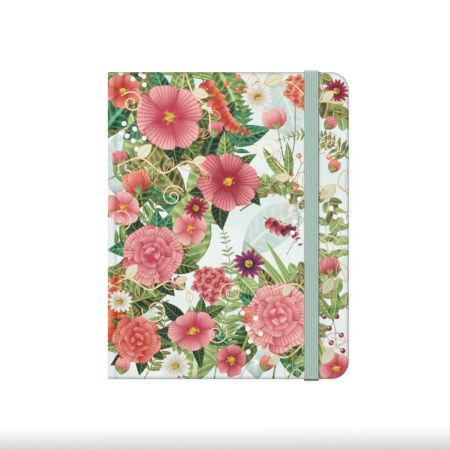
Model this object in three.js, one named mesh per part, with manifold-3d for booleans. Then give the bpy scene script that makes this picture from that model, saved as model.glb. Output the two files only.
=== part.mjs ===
// Weekly planner: case-bound book with an elastic closure, lying on its back cover.
// Millimetres, +Z up out of the front cover, spine at -X, head at +Y.
import * as THREE from "three";
import { mergeVertices } from "three/addons/utils/BufferGeometryUtils.js";
import Module from "manifold-3d";

// Driving sizes of the cover
const COVER_WIDTH = 165;
const COVER_HEIGHT = 210;
const CORNER_RADIUS = 12;
const BOARD_THICKNESS = 2.25;
const WRAP_THICKNESS = 0.25;
const PASTEDOWN_THICKNESS = 0.25;
const TURN_IN_WIDTH = 14;
const TURN_IN_CORNER_RADIUS = 2;
const SPINE_TURN_IN = 12;
const PASTEDOWN_BORDER = 3.5;
const JOINT_WIDTH = 9.5;
const SPINE_THICKNESS = 2.4;
const SHOULDER_WIDTH = 1.3;
const GROOVE_DEPTH = 1.25;
const GROOVE_FLOOR_WIDTH = 1;
const GROOVE_CLIMB_WIDTH = 4.2;

// Driving sizes of the leaves
const SIGNATURES_PER_HALF = 6;
const SIGNATURE_THICKNESS = 1;
const SQUARES = 3;
const LEAF_CORNER_RADIUS = 9;
const FLYLEAF_THICKNESS = 0.25;
const LINING_THICKNESS = 0.5;
const BAND_RADIUS = 1.25;

// Driving sizes of the elastic
const ELASTIC_WIDTH = 10;
const ELASTIC_THICKNESS = 1;
const ELASTIC_FORE_EDGE_INSET = 20.5;
const ELASTIC_TAB_LENGTH = 30;
const ELASTIC_EDGE_RADIUS = 0.25;

// Clearances
const BODY_GAP = 0.25;
const HINGE_GAP = 0.3;
const SLOT_GAP = 0.25;
const FILLER_GAP = 0.3;
const CUT_OVERRUN = 1;

// Segments of the round shapes
const CORNER_SEGMENTS = 10;
const EDGE_SEGMENTS = 8;
const GROOVE_STEPS = 6;

// Heights, worked out from the back face upwards
const RIM_HEIGHT = WRAP_THICKNESS * 2 + BOARD_THICKNESS;
const COVER_THICKNESS = RIM_HEIGHT + PASTEDOWN_THICKNESS;
const REAR_FLYLEAF_Z = COVER_THICKNESS + BODY_GAP;
const REAR_LEAVES_Z = REAR_FLYLEAF_Z + FLYLEAF_THICKNESS;
const FOLD_RADIUS = SIGNATURE_THICKNESS / 2;
const HALF_LEAVES = SIGNATURES_PER_HALF * SIGNATURE_THICKNESS;
const FRONT_LEAVES_Z = REAR_LEAVES_Z + HALF_LEAVES + BODY_GAP;
const FRONT_FLYLEAF_Z = FRONT_LEAVES_Z + HALF_LEAVES;
const BOOK_HEIGHT = FRONT_FLYLEAF_Z + FLYLEAF_THICKNESS + BODY_GAP + COVER_THICKNESS;
const ELASTIC_FRONT_Z = BOOK_HEIGHT + BODY_GAP;

// Places along X, from the spine edge
const HINGE_X = SPINE_THICKNESS / 2;
const HINGE_RADIUS = SPINE_THICKNESS / 2 + HINGE_GAP;
const SPINE_SIDE = SPINE_THICKNESS + HINGE_GAP;
const BOARD_START = HINGE_X + HINGE_RADIUS + JOINT_WIDTH;
const LEAVES_START = SPINE_SIDE + LINING_THICKNESS;
const LEAVES_END = COVER_WIDTH - SQUARES;
const ELASTIC_END = COVER_WIDTH - ELASTIC_FORE_EDGE_INSET;
const ELASTIC_START = ELASTIC_END - ELASTIC_WIDTH;

// Half lengths along Y
const COVER_HALF = COVER_HEIGHT / 2;
const LEAVES_HALF = COVER_HALF - SQUARES;
const ELASTIC_HALF = COVER_HALF + BODY_GAP;

const wasm = await Module();
wasm.setup();

// Turns a closed geometry into a manifold solid.
function solidOf(geometry) {
  const bare = geometry.clone();
  bare.deleteAttribute("normal");
  bare.deleteAttribute("uv");
  const merged = mergeVertices(bare, 1e-4);
  return new wasm.Manifold(
    new wasm.Mesh({
      numProp: 3,
      vertProperties: new Float32Array(merged.attributes.position.array),
      triVerts: new Uint32Array(merged.index.array),
    }),
  );
}

// Turns a manifold solid back into a geometry with flat-shaded faces.
function geometryOf(solid) {
  const mesh = solid.getMesh();
  const geometry = new THREE.BufferGeometry();
  geometry.setAttribute("position", new THREE.BufferAttribute(mesh.vertProperties, 3));
  geometry.setIndex(new THREE.BufferAttribute(mesh.triVerts, 1));
  const flat = geometry.toNonIndexed();
  flat.computeVertexNormals();
  return flat;
}

// Extrudes an outline in X and Y from z up by height.
function plate(outline, z, height) {
  const settings = { depth: height, bevelEnabled: false, curveSegments: CORNER_SEGMENTS };
  return new THREE.ExtrudeGeometry(outline, settings).translate(0, 0, z);
}

// Extrudes a section, drawn with its Y as the height Z, along Y from -half to +half.
function upright(section, half) {
  const settings = { depth: half * 2, bevelEnabled: false, curveSegments: EDGE_SEGMENTS };
  return new THREE.ExtrudeGeometry(section, settings).rotateX(Math.PI / 2).translate(0, half, 0);
}

function box(x0, x1, y0, y1, z0, z1) {
  const geometry = new THREE.BoxGeometry(x1 - x0, y1 - y0, z1 - z0);
  return geometry.translate((x0 + x1) / 2, (y0 + y1) / 2, (z0 + z1) / 2);
}

// An outline square at the spine side, with round corners at the fore edge.
function sheetOutline(x0, x1, half, radius) {
  const shape = new THREE.Shape();
  shape.moveTo(x0, -half);
  shape.lineTo(x1 - radius, -half);
  shape.absarc(x1 - radius, -half + radius, radius, -Math.PI / 2, 0, false);
  shape.lineTo(x1, half - radius);
  shape.absarc(x1 - radius, half - radius, radius, 0, Math.PI / 2, false);
  shape.lineTo(x0, half);
  shape.closePath();
  return shape;
}

const planner = new THREE.Group();
planner.name = "weekly_planner";

// Adds a named piece, moved so that the planner's footprint is centred on the origin.
function add(name, geometry, look) {
  const material = new THREE.MeshStandardMaterial(look);
  const mesh = new THREE.Mesh(geometry.translate(-COVER_WIDTH / 2, 0, 0), material);
  mesh.name = name;
  planner.add(mesh);
}

const PRINT = { color: 0xd9cfc4, roughness: 0.45, metalness: 0 };
const GREYBOARD = { color: 0x8d8579, roughness: 0.95, metalness: 0 };
const ENDPAPER = { color: 0xdfe9e2, roughness: 0.9, metalness: 0 };
const LEAF = { color: 0xf7f4ec, roughness: 0.9, metalness: 0 };
const CLOTH = { color: 0xe9e4d6, roughness: 0.95, metalness: 0 };
const SAGE = { color: 0xa5beb4, roughness: 0.85, metalness: 0 };

// Joint: the wrap falls from the spine's shoulder to the groove's floor, and climbs onto the board.
const SHOULDER_END = SPINE_SIDE + SHOULDER_WIDTH;
const GROOVE_FLOOR_END = BOARD_START - GROOVE_CLIMB_WIDTH;
const GROOVE_FLOOR_START = GROOVE_FLOOR_END - GROOVE_FLOOR_WIDTH;

// How far the wrap's outer face lies below the cover's face at x.
function grooveDrop(x) {
  const falling = THREE.MathUtils.smoothstep(x, SHOULDER_END, GROOVE_FLOOR_START);
  const rising = THREE.MathUtils.smoothstep(x, GROOVE_FLOOR_END, BOARD_START);
  return GROOVE_DEPTH * (falling - rising);
}

// Section of the wrap over the joint of the back cover, whose outer face lies at z = 0.
// Cloth and glue back it from the shoulder to the board, down to the endpaper,
// and its spine end is cut along the circle that the hinge clears.
function jointSection() {
  const outerX = HINGE_X + Math.sqrt(HINGE_RADIUS ** 2 - HINGE_X ** 2);
  const innerX = HINGE_X + Math.sqrt(HINGE_RADIUS ** 2 - (HINGE_X - WRAP_THICKNESS) ** 2);
  const stops = [];
  for (const [from, to] of [
    [SHOULDER_END, GROOVE_FLOOR_START],
    [GROOVE_FLOOR_END, BOARD_START],
  ]) {
    for (let i = 0; i <= GROOVE_STEPS; i++) {
      stops.push(from + ((to - from) * i) / GROOVE_STEPS);
    }
  }
  return new THREE.Shape([
    new THREE.Vector2(outerX, 0),
    ...stops.map((x) => new THREE.Vector2(x, grooveDrop(x))),
    new THREE.Vector2(BOARD_START + CUT_OVERRUN, 0),
    new THREE.Vector2(BOARD_START + CUT_OVERRUN, WRAP_THICKNESS),
    new THREE.Vector2(BOARD_START, WRAP_THICKNESS),
    new THREE.Vector2(BOARD_START, RIM_HEIGHT),
    new THREE.Vector2(SHOULDER_END, RIM_HEIGHT),
    new THREE.Vector2(SHOULDER_END, WRAP_THICKNESS),
    new THREE.Vector2(innerX, WRAP_THICKNESS),
  ]);
}

// Outline inside the turned-in edges of the wrap, from x0 and at a gap from them.
function windowOutline(x0, gap) {
  return sheetOutline(
    x0,
    COVER_WIDTH - TURN_IN_WIDTH - gap,
    COVER_HALF - TURN_IN_WIDTH - gap,
    TURN_IN_CORNER_RADIUS,
  );
}

function boardSolid() {
  const x1 = COVER_WIDTH - WRAP_THICKNESS;
  const half = COVER_HALF - WRAP_THICKNESS;
  const outline = sheetOutline(BOARD_START, x1, half, CORNER_RADIUS - WRAP_THICKNESS);
  return solidOf(plate(outline, WRAP_THICKNESS, BOARD_THICKNESS));
}

// Wrap of the back cover: face sheet, rim, turned-in edges and the strip over the joint.
function wrapSolid() {
  const outline = sheetOutline(BOARD_START, COVER_WIDTH, COVER_HALF, CORNER_RADIUS);
  const whole = solidOf(plate(outline, 0, RIM_HEIGHT));
  const roomOutline = sheetOutline(
    BOARD_START - CUT_OVERRUN,
    COVER_WIDTH - WRAP_THICKNESS,
    COVER_HALF - WRAP_THICKNESS,
    CORNER_RADIUS - WRAP_THICKNESS,
  );
  const room = solidOf(plate(roomOutline, WRAP_THICKNESS, BOARD_THICKNESS));
  const windowZ = WRAP_THICKNESS + BOARD_THICKNESS / 2;
  const window = solidOf(plate(windowOutline(BOARD_START - CUT_OVERRUN, 0), windowZ, RIM_HEIGHT));
  const strip = solidOf(upright(jointSection(), COVER_HALF));
  return whole.subtract(room).subtract(window).add(strip);
}

// Endpaper pasted inside the back cover, thicker where it sinks between the turned-in edges.
function pastedownSolid() {
  const outline = sheetOutline(
    SPINE_SIDE,
    COVER_WIDTH - PASTEDOWN_BORDER,
    COVER_HALF - PASTEDOWN_BORDER,
    LEAF_CORNER_RADIUS,
  );
  const sheet = solidOf(plate(outline, RIM_HEIGHT, PASTEDOWN_THICKNESS));
  const fillerOutline = windowOutline(BOARD_START + FILLER_GAP, FILLER_GAP);
  const fillerHeight = WRAP_THICKNESS + PASTEDOWN_THICKNESS;
  const filler = solidOf(plate(fillerOutline, RIM_HEIGHT - WRAP_THICKNESS, fillerHeight));
  return sheet.add(filler);
}

// Turns a solid of the back cover over onto the front cover.
function turnedOver(solid) {
  return solid.rotate([180, 0, 0]).translate([0, 0, BOOK_HEIGHT]);
}

// Elastic ends, glued into recesses of the back board under the endpaper.
const TAB_Z = RIM_HEIGHT - ELASTIC_THICKNESS;
const TAB_START = COVER_HALF - ELASTIC_TAB_LENGTH;

function recess(side) {
  const ends = [side * (TAB_START - SLOT_GAP), side * (COVER_HALF + CUT_OVERRUN)];
  return solidOf(
    box(
      ELASTIC_START - SLOT_GAP,
      ELASTIC_END + SLOT_GAP,
      Math.min(...ends),
      Math.max(...ends),
      TAB_Z,
      TAB_Z + ELASTIC_THICKNESS,
    ),
  );
}

const recesses = recess(1).add(recess(-1));

add("back_wrap", geometryOf(wrapSolid().subtract(recesses)), PRINT);
add("back_board", geometryOf(boardSolid().subtract(recesses)), GREYBOARD);
add("back_pastedown", geometryOf(pastedownSolid().subtract(recesses)), ENDPAPER);
add("front_wrap", geometryOf(turnedOver(wrapSolid())), PRINT);
add("front_board", geometryOf(turnedOver(boardSolid())), GREYBOARD);
add("front_pastedown", geometryOf(turnedOver(pastedownSolid())), ENDPAPER);

// Spine: a narrow board with full round ends, which are centred on the two joints of the case.
function spineSection(inset) {
  const radius = HINGE_X - inset;
  const section = new THREE.Shape();
  section.absarc(HINGE_X, HINGE_X, radius, Math.PI, 2 * Math.PI, false);
  section.absarc(HINGE_X, BOOK_HEIGHT - HINGE_X, radius, 0, Math.PI, false);
  section.closePath();
  return section;
}

const spineBoard = solidOf(upright(spineSection(WRAP_THICKNESS), COVER_HALF - WRAP_THICKNESS));
const spineSheath = solidOf(upright(spineSection(0), COVER_HALF)).subtract(spineBoard);
const spineWindow = solidOf(
  box(
    HINGE_X,
    SPINE_THICKNESS + CUT_OVERRUN,
    SPINE_TURN_IN - COVER_HALF,
    COVER_HALF - SPINE_TURN_IN,
    HINGE_X,
    BOOK_HEIGHT - HINGE_X,
  ),
);
add("spine_wrap", geometryOf(spineSheath.subtract(spineWindow)), PRINT);
add("spine_board", geometryOf(spineBoard), GREYBOARD);

// A signature: a folded stack of leaves, round at its fold and trimmed to round fore corners.
function signatureSolid(z) {
  const top = z + SIGNATURE_THICKNESS;
  const foldX = LEAVES_START + FOLD_RADIUS;
  const section = new THREE.Shape();
  section.moveTo(foldX, z);
  section.lineTo(LEAVES_END, z);
  section.lineTo(LEAVES_END, top);
  section.lineTo(foldX, top);
  section.absarc(foldX, z + FOLD_RADIUS, FOLD_RADIUS, Math.PI / 2, Math.PI * 1.5, false);
  const folded = solidOf(upright(section, LEAVES_HALF));
  const trim = sheetOutline(LEAVES_START - CUT_OVERRUN, LEAVES_END, LEAVES_HALF, LEAF_CORNER_RADIUS);
  const trimHeight = SIGNATURE_THICKNESS + CUT_OVERRUN * 2;
  return folded.intersect(solidOf(plate(trim, z - CUT_OVERRUN, trimHeight)));
}

// Bead at the head (side 1) or tail (side -1) of the folds, a quarter round against the lining.
function bandGeometry(side, low, high) {
  const section = new THREE.Shape();
  const y = side * LEAVES_HALF;
  section.moveTo(LEAVES_START, y);
  section.lineTo(LEAVES_START + BAND_RADIUS, y);
  section.absarc(LEAVES_START, y, BAND_RADIUS, 0, (side * Math.PI) / 2, side < 0);
  section.closePath();
  return plate(section, low, high - low);
}

const leafOutline = sheetOutline(LEAVES_START, LEAVES_END, LEAVES_HALF, LEAF_CORNER_RADIUS);
const halves = [
  { name: "rear", leavesZ: REAR_LEAVES_Z, flyleafZ: REAR_FLYLEAF_Z, last: SIGNATURES_PER_HALF * 2 },
  { name: "front", leavesZ: FRONT_LEAVES_Z, flyleafZ: FRONT_FLYLEAF_Z, last: SIGNATURES_PER_HALF },
];

for (const { name, leavesZ, flyleafZ, last } of halves) {
  for (let i = 0; i < SIGNATURES_PER_HALF; i++) {
    const number = String(last - i).padStart(2, "0");
    const z = leavesZ + i * SIGNATURE_THICKNESS;
    add("signature_" + number, geometryOf(signatureSolid(z)), LEAF);
  }
  add(name + "_flyleaf", plate(leafOutline, flyleafZ, FLYLEAF_THICKNESS), ENDPAPER);
  const low = Math.min(leavesZ, flyleafZ);
  const high = Math.max(leavesZ + HALF_LEAVES, flyleafZ + FLYLEAF_THICKNESS);
  const liningHalf = LEAVES_HALF + BAND_RADIUS;
  const lining = box(SPINE_SIDE, LEAVES_START, -liningHalf, liningHalf, low, high);
  add(name + "_spine_lining", lining, CLOTH);
  add(name + "_head_band", bandGeometry(1, low, high), SAGE);
  add(name + "_tail_band", bandGeometry(-1, low, high), SAGE);
}

// Elastic run over the front face, with soft long edges.
function elasticSection() {
  const x0 = ELASTIC_START;
  const x1 = ELASTIC_END;
  const z0 = ELASTIC_FRONT_Z;
  const z1 = ELASTIC_FRONT_Z + ELASTIC_THICKNESS;
  const r = ELASTIC_EDGE_RADIUS;
  const section = new THREE.Shape();
  section.moveTo(x0 + r, z0);
  section.absarc(x1 - r, z0 + r, r, -Math.PI / 2, 0, false);
  section.absarc(x1 - r, z1 - r, r, 0, Math.PI / 2, false);
  section.absarc(x0 + r, z1 - r, r, Math.PI / 2, Math.PI, false);
  section.absarc(x0 + r, z0 + r, r, Math.PI, Math.PI * 1.5, false);
  return section;
}

// Elastic run beside the head (side 1) or tail (side -1), up to its round turn over the edge.
// Its profile is drawn with Y across and Z up, then turned to run along X.
function elasticSideRun(side) {
  const near = side * ELASTIC_HALF;
  const far = side * (ELASTIC_HALF + ELASTIC_THICKNESS);
  const profile = new THREE.Shape();
  profile.moveTo(near, TAB_Z);
  profile.lineTo(far, TAB_Z);
  const from = side > 0 ? 0 : Math.PI;
  profile.absarc(near, ELASTIC_FRONT_Z, ELASTIC_THICKNESS, from, Math.PI / 2, side < 0);
  profile.closePath();
  const settings = { depth: ELASTIC_WIDTH, bevelEnabled: false, curveSegments: EDGE_SEGMENTS };
  return new THREE.ExtrudeGeometry(profile, settings)
    .rotateX(Math.PI / 2)
    .rotateZ(Math.PI / 2)
    .translate(ELASTIC_START, 0, 0);
}

function elasticTab(side) {
  const ends = [side * TAB_START, side * ELASTIC_HALF];
  const y0 = Math.min(...ends);
  const y1 = Math.max(...ends);
  return box(ELASTIC_START, ELASTIC_END, y0, y1, TAB_Z, TAB_Z + ELASTIC_THICKNESS);
}

add("elastic_front_run", upright(elasticSection(), ELASTIC_HALF), SAGE);
for (const [name, side] of [
  ["head", 1],
  ["tail", -1],
]) {
  add("elastic_" + name + "_run", elasticSideRun(side), SAGE);
  add("elastic_anchor_" + name, elasticTab(side), SAGE);
}

export default planner;
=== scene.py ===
"""Looks of the weekly planner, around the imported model.

Shapes are worked out in millimetres in the frame of the model and written in metres.
The printed wrap is one sheet, cut at the middle of the spine: the flat print is triangulated
together with the lines where the sheet bends, and then folded over boards, joints and spine.
"""

import math
import random

import bpy
import numpy as np
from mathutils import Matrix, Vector
from mathutils.geometry import delaunay_2d_cdt


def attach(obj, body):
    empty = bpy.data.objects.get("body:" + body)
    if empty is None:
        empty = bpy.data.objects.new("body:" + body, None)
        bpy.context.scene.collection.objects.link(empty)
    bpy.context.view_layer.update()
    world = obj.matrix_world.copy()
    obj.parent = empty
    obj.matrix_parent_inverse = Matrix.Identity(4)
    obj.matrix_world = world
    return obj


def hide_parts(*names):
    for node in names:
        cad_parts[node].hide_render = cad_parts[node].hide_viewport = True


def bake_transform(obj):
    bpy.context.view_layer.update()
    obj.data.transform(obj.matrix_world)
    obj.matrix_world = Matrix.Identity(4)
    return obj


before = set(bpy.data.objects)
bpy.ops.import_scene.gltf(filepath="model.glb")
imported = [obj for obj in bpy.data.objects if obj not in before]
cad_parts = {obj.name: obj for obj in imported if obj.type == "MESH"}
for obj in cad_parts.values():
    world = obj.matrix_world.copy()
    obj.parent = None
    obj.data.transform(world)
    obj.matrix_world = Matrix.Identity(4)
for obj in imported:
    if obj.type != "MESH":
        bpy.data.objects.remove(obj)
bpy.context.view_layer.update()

MM = 0.001

# Sizes of the case, in millimetres, as in the model
COVER_X0, COVER_X1 = -82.5, 82.5
COVER_HALF = 105.0
CORNER_RADIUS = 12.0
BOOK_HEIGHT = 19.25
RIM_HEIGHT = 2.75
WRAP = 0.25
SPINE_RADIUS = 1.2
SPINE_THICKNESS = 2 * SPINE_RADIUS
AXIS_X = COVER_X0 + SPINE_RADIUS
SHOULDER_X = -78.5
FLOOR_X0, FLOOR_X1 = -75.5, -74.5
BOARD_X = -70.3
GROOVE_DEPTH = 1.25

# Roll of the wrap over the edges of the boards
EDGE_ROUND = 0.8
ROLL_ARC = EDGE_ROUND * math.pi / 2
ROLL_FLAT = RIM_HEIGHT - 2 * EDGE_ROUND
TURN_IN = 6.0
FLAP = 0.55
ROLL_ALL = 2 * ROLL_ARC + ROLL_FLAT + TURN_IN
SPINE_ARC = SPINE_RADIUS * math.pi / 2
SPINE_MARGIN = 0.45
SHEET_MIDDLE = AXIS_X - SPINE_ARC - (BOOK_HEIGHT / 2 - SPINE_RADIUS)

# What counts as nothing: twice an area, a length to divide by, and a gap between points
SLIVER, TINY, MERGE_REACH = 1e-7, 1e-9, 1e-4

# Where the edge of the sheet grows from the thin flap at the joint to the height of the rim
RIM_START_X, RIM_END_X = SHOULDER_X - 0.2, SHOULDER_X + 0.4

# Painted shade on the print along the rims, where the sheet rolls round the board edges, by distance from
# the rectangle between the corners' centres
PAINTED_SHADE_START, PAINTED_SHADE_FULL = 9.1, 12.6
PAINTED_SHADE_FADE, PAINTED_SHADE_END = 12.3, 13.6
PAINTED_SHADE_TONE = (0.5, 0.53, 0.52, 1.0)

# Sizes of the elastic
ELASTIC_X0, ELASTIC_X1 = 52.0, 62.0
ELASTIC_RADIUS = 0.5
ELASTIC_TURN_Y = COVER_HALF + 0.25
ELASTIC_FRONT_Z = 19.5
ELASTIC_END_Y, ELASTIC_END_Z = 75.0, 2.25
ELASTIC_RIBS, RIB_DEPTH = 6, 0.13
ELASTIC_EDGE, EDGE_DEPTH = 0.3, 0.94
PICK_PITCH = 0.7

# Sizes of the leaves
LEAF_X0, LEAF_X1 = -79.3, 79.5
LEAF_HALF = 102.0
LEAF_CORNER = 9.0
PAGE_HALF = LEAF_HALF - 0.1
FOLD_X = LEAF_X0 + 0.5
SIGNATURES = 6
SIGNATURE_THICKNESS = 1.0
SHEETS = 4
SHEET_THICKNESS = SIGNATURE_THICKNESS / (2 * SHEETS)
SHEET_GAP = 0.004
SHEET_STEP = 0.03
REAR_LEAVES_Z, FRONT_LEAVES_Z = 3.5, 9.75

# Depth of the relief that materials show, in metres
COARSE_RELIEF = 0.0002
FINE_RELIEF = 0.0001


def smooth(t):
    """Climbs from 0 to 1 with level ends while t does."""
    t = np.clip(t, 0, 1)
    return t * t * (3 - 2 * t)


def linear(*rgb):
    """A colour written as 0 to 255 in sRGB, as linear numbers, with full cover."""
    return (*(((c / 255 + 0.055) / 1.055) ** 2.4 if c > 10 else c / 255 / 12.92 for c in rgb), 1.0)


def blend_colours(a, b, t):
    return tuple(x + (y - x) * t for x, y in zip(a, b))


def write(mesh, name, domain, values):
    """Keeps three numbers or a colour for each point or corner of a mesh."""
    values = np.asarray(values, np.float32)
    kind, key = ("FLOAT_COLOR", "color") if values.shape[1] == 4 else ("FLOAT_VECTOR", "vector")
    mesh.attributes.new(name, kind, domain).data.foreach_set(key, values.ravel())


def add_piece(name, mesh, materials):
    """An object of the mesh with these materials, in the scene."""
    for material in materials:
        mesh.materials.append(material)
    piece = bpy.data.objects.new(name, mesh)
    bpy.context.scene.collection.objects.link(piece)
    return piece


# Nodes that are written as formulas


def formula(operation, turned=False):
    """A method that adds a math node to its value, with the two values the other way round if turned."""

    def method(self, other=0.0):
        values = (other, self) if turned else (self, other)
        return self.nodes.math(operation, *values)

    return method


class Value:
    """What a node puts out, which takes part in formulas."""

    def __init__(self, nodes, socket):
        self.nodes = nodes
        self.socket = socket

    __add__ = formula("ADD")
    __sub__ = formula("SUBTRACT")
    __rsub__ = formula("SUBTRACT", turned=True)
    __mul__ = formula("MULTIPLY")
    __truediv__ = formula("DIVIDE")
    __pow__ = formula("POWER")
    __gt__ = formula("GREATER_THAN")
    __lt__ = formula("LESS_THAN")
    __abs__ = formula("ABSOLUTE")
    at_least = formula("MAXIMUM")
    at_most = formula("MINIMUM")
    sine = formula("SINE")
    cosine = formula("COSINE")
    root = formula("SQRT")
    fraction = formula("FRACT")

    def clamped(self):
        return self.nodes.math("ADD", self, 0.0, clamp=True)

    def wave(self, pitch):
        return (self * (2 * math.pi / pitch)).sine()

    def ramp(self, low, high, to_low=0.0, to_high=1.0, kind="SMOOTHSTEP"):
        inputs = {0: self, 1: low, 2: high, 3: to_low, 4: to_high}
        return self.nodes.value("ShaderNodeMapRange", inputs, interpolation_type=kind)


class Nodes:
    """The nodes of one material or world."""

    def __init__(self, owner):
        owner.use_nodes = True
        self.owner = owner
        self.tree = owner.node_tree

    def node(self, kind, inputs=(), **settings):
        made = self.tree.nodes.new(kind)
        for key, value in settings.items():
            setattr(made, key, value)
        for key, value in dict(inputs).items():
            self.feed(made.inputs[key], value)
        return made

    def value(self, kind, inputs=(), output=0, **settings):
        return Value(self, self.node(kind, inputs, **settings).outputs[output])

    def feed(self, socket, value):
        if isinstance(value, Value):
            self.tree.links.new(value.socket, socket)
        else:
            socket.default_value = value

    def math(self, operation, *values, clamp=False):
        return self.value("ShaderNodeMath", dict(enumerate(values)), operation=operation, use_clamp=clamp)

    def mix(self, share, a, b, blend="MIX"):
        return self.value("ShaderNodeMix", {0: share, 6: a, 7: b}, 2, data_type="RGBA", blend_type=blend)

    def attribute(self, name, output="Vector"):
        return self.value("ShaderNodeAttribute", (), output, attribute_name=name)

    def split(self, vector):
        return [Value(self, part) for part in self.node("ShaderNodeSeparateXYZ", {0: vector}).outputs]

    def noise(self, vector, scale, detail=2.0, roughness=0.5):
        inputs = {"Vector": vector, "Scale": scale, "Detail": detail, "Roughness": roughness}
        return self.value("ShaderNodeTexNoise", inputs, "Fac")

    def place(self, kind="Object"):
        return self.value("ShaderNodeTexCoord", (), kind)

    def rays(self, *kinds):
        """One for any of these kinds of light ray, and zero for others."""
        path = self.node("ShaderNodeLightPath").outputs
        seen = [Value(self, path[f"Is {kind} Ray"]) for kind in kinds]
        for other in seen[1:]:
            seen[0] = seen[0].at_least(other)
        return seen[0]


class Surface(Nodes):
    """The nodes of a material with the principled shader."""

    def __init__(self, name):
        super().__init__(bpy.data.materials.new(name))
        self.shader = self.tree.nodes["Principled BSDF"]

    def bump(self, height, strength, distance):
        inputs = {"Height": height, "Strength": strength, "Distance": distance}
        return self.value("ShaderNodeBump", inputs)

    def finish(self, colour, roughness, **inputs):
        inputs = {"Base Color": colour, "Roughness": roughness, **inputs}
        for key, value in inputs.items():
            self.feed(self.shader.inputs[key.replace("_", " ")], value)
        return self.owner


# Inks of the print


class Ink(Surface):
    """An ink on the laminated sheet, with its place on the flat sheet and the sheet's fine grain."""

    def __init__(self, name):
        super().__init__(name)
        self.sheet = self.attribute("sheet")
        self.grain = self.noise(self.sheet, 900.0)

    def tones(self, *names):
        return [self.attribute(name, "Color") for name in names]

    def painted_rim_shade(self, colour):
        """Paints shade into the ink along the rims, where the sheet rolls round the edges of the boards."""
        s, y, _ = self.split(self.sheet)
        middle = SHEET_MIDDLE * MM
        s = (abs(s - middle) + middle - (COVER_X1 - CORNER_RADIUS) * MM).at_least(0.0)
        y = (abs(y) - (COVER_HALF - CORNER_RADIUS) * MM).at_least(0.0)
        far = (s * s + y * y).root()
        start = far.ramp(PAINTED_SHADE_START * MM, PAINTED_SHADE_FULL * MM)
        end = far.ramp(PAINTED_SHADE_FADE * MM, PAINTED_SHADE_END * MM, 1.0, 0.0)
        return self.mix(start * end, colour, PAINTED_SHADE_TONE, "MULTIPLY")

    def laminate(self, colour):
        roughness = self.grain.ramp(0.3, 0.7, 0.46, 0.58)
        normal = self.bump(self.grain, 0.06, COARSE_RELIEF)
        # the ink carries painted shade along the rims of the boards
        return self.finish(self.painted_rim_shade(colour), roughness, Normal=normal, Specular_IOR_Level=0.22)


class ShapedInk(Ink):
    """An ink that follows the form of its motif.

    u goes from 0 at the foot of the motif to 1 at its tip, across is the distance from its axis,
    and share is that distance as a part of its half width there.
    """

    def __init__(self, name):
        super().__init__(name)
        x, y, bend = self.split(self.attribute("place"))
        self.width, a, b = self.split(self.attribute("form"))
        self.seed, self.start, self.end = self.split(self.attribute("fade"))
        self.u = x.at_most(0.999).at_least(0.001)
        self.across = y - self.u * (1.0 - self.u) * 4.0 * bend
        half = (self.u**a * math.pi).sine().at_least(0.001) ** b * self.width
        self.share = self.across / half.at_least(0.003)
        self.deep, self.pale, self.line = self.tones("deep", "pale", "line")


def petal_material():
    ink = ShapedInk("print_petal")
    u, share, line = ink.u, ink.share, ink.line
    flow = ink.noise(ink.sheet, 120.0, 3.0)
    turn = ink.across / (u + 0.15) * 52.0 + ink.seed * 40.0 + flow * 5.0
    veins = (turn.sine() * 0.5 + 0.5) ** 2.4
    fade = (u.ramp(ink.start, ink.end) + (flow * 0.6 - 0.3)).clamped()
    colour = ink.mix(fade, ink.deep, ink.pale)
    colour = ink.mix(veins * (u * -0.3 + 0.82), colour, line)
    under = share.ramp(-0.95, -0.25, 0.6, 0.0) * u.ramp(0.1, 1.0, 1.0, 0.35)
    colour = ink.mix(under, colour, line)
    lit = share.ramp(0.25, 0.8, 0.0, 0.3) * u.ramp(0.3, 0.8)
    colour = ink.mix(lit, colour, linear(255, 218, 210))
    edge = abs(share).ramp(0.9, 0.985, 0.0, 0.8)
    return ink.laminate(ink.mix(edge, colour, line))


def leaf_material():
    ink = ShapedInk("print_leaf")
    u, line = ink.u, ink.line
    flow = ink.noise(ink.sheet, 160.0, 3.0)
    size = abs(ink.share)
    light = (size * 0.22 + (ink.share > 0.0) * 0.32 + (flow * 1.9 - 0.88)).clamped()
    colour = ink.mix(light, ink.deep, ink.pale)
    stripe = (u * 9.0 + size * -1.15).wave(1.0)
    colour = ink.mix((stripe * 0.5 + 0.5) ** 7.0 * 0.5, colour, line)
    colour = ink.mix((stripe * -0.5 + 0.5) ** 3.0 * 0.35, colour, ink.deep)
    rib = abs(ink.across) / ink.width < u * -0.07 + 0.11
    colour = ink.mix(rib * 0.9, colour, line)
    colour = ink.mix(size.ramp(0.9, 0.99, 0.0, 0.8), colour, ink.deep)
    foot = u.ramp(ink.start, ink.end, 0.72, 0.0)
    return ink.laminate(ink.mix(foot, colour, linear(14, 28, 16)))


def blade_material():
    ink = ShapedInk("print_blade")
    turn = ink.share * 11.0 + ink.seed * 30.0 + ink.noise(ink.sheet, 90.0) * 2.0
    colour = ink.mix(turn.sine() * 0.5 + 0.5, ink.deep, ink.pale)
    fine = (turn * 3.7).sine().at_least(0.0)
    colour = ink.mix(fine * 0.22, colour, ink.deep)
    edge = ink.share.ramp(0.45, 0.8, 0.0, 0.8)
    return ink.laminate(ink.mix(edge, colour, ink.line))


def plain_material():
    ink = Ink("print_plain")
    light = ink.noise(ink.sheet, 500.0).ramp(0.35, 0.65)
    return ink.laminate(ink.mix(light, *ink.tones("deep", "pale")))


def ground_material():
    ink = Ink("print_ground")
    wash = ink.noise(ink.sheet, 22.0, 3.0).ramp(0.38, 0.62)
    colour = ink.mix(wash, linear(228, 240, 235), linear(241, 247, 244))
    fleck = ink.noise(ink.sheet, 420.0).ramp(0.6, 0.75, 0.0, 0.35)
    return ink.laminate(ink.mix(fleck, colour, linear(219, 234, 228)))


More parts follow.
